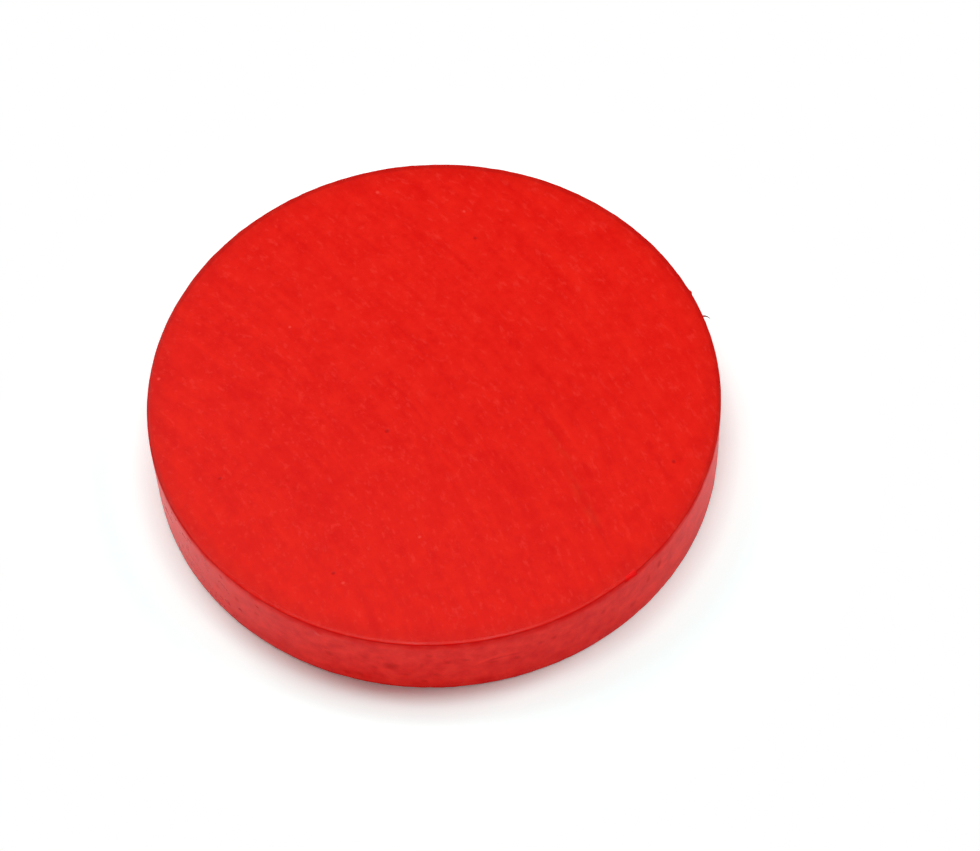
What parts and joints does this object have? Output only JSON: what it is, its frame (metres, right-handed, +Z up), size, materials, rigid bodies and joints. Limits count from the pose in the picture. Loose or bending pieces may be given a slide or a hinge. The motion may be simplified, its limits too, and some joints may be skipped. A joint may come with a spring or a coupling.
{
  "type": "wooden game disc",
  "caption": "Flat round disc of solid wood with eased rims under satin red lacquer; a large game piece that lies on a board, slides, stacks and turns over.",
  "frame": {"origin": "centre of the underside, on the surface that the disc lies on", "axes": "+Z up, square to both faces; +X along the grain of the wood; +Y across the grain"},
  "size_m": [0.1002, 0.1002, 0.0152],
  "materials": {
    "wood": "matte",
    "red_lacquer": "satin"
  },
  "bodies": {
    "root": {"wood_blank": "wood", "wall_coat": "red_lacquer", "top_coat": "red_lacquer", "base_coat": "red_lacquer"}
  },
  "joints": []
}
